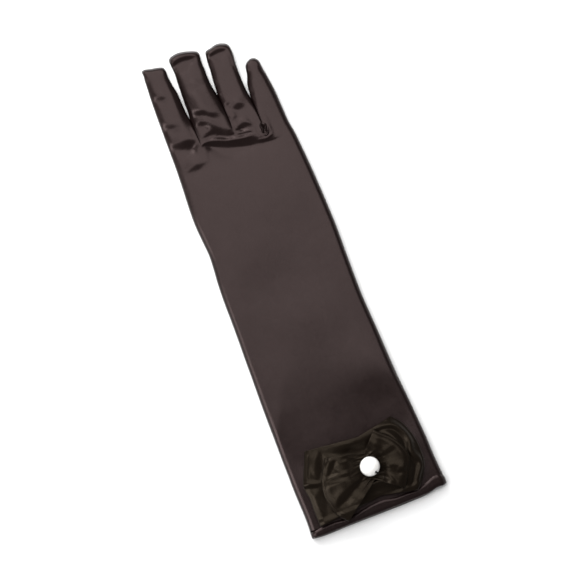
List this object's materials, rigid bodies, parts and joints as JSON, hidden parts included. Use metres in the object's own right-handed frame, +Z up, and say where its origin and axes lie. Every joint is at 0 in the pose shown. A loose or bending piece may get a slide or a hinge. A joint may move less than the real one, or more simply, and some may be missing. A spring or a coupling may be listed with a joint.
{
  "type": "long satin glove",
  "caption": "Long dark satin dress glove for a right hand, lying flat, with a ribbon bow and a round bead at its open cuff.",
  "frame": {"origin": "middle of the underside's bounding box, on the surface that the glove lies on", "axes": "+Y from the cuff to the fingertips, +Z up out of the back of the hand, +X towards the little finger"},
  "size_m": [0.0868, 0.301, 0.0254],
  "materials": {
    "satin": "dark brown-black stretch satin, soft sheen",
    "ribbon": "dark brown-black satin ribbon",
    "pearl": "white imitation pearl",
    "thread": "black sewing thread"
  },
  "bodies": {
    "root": {"glove_body": "satin", "thumb": "satin", "gusset_index_middle": "satin", "gusset_middle_ring": "satin", "gusset_ring_little": "satin", "cuff_hem": "satin", "bow_under_ribbon": "ribbon", "bow_upper_ribbon": "ribbon", "pearl": "pearl", "pearl_thread": "thread"}
  },
  "joints": []
}
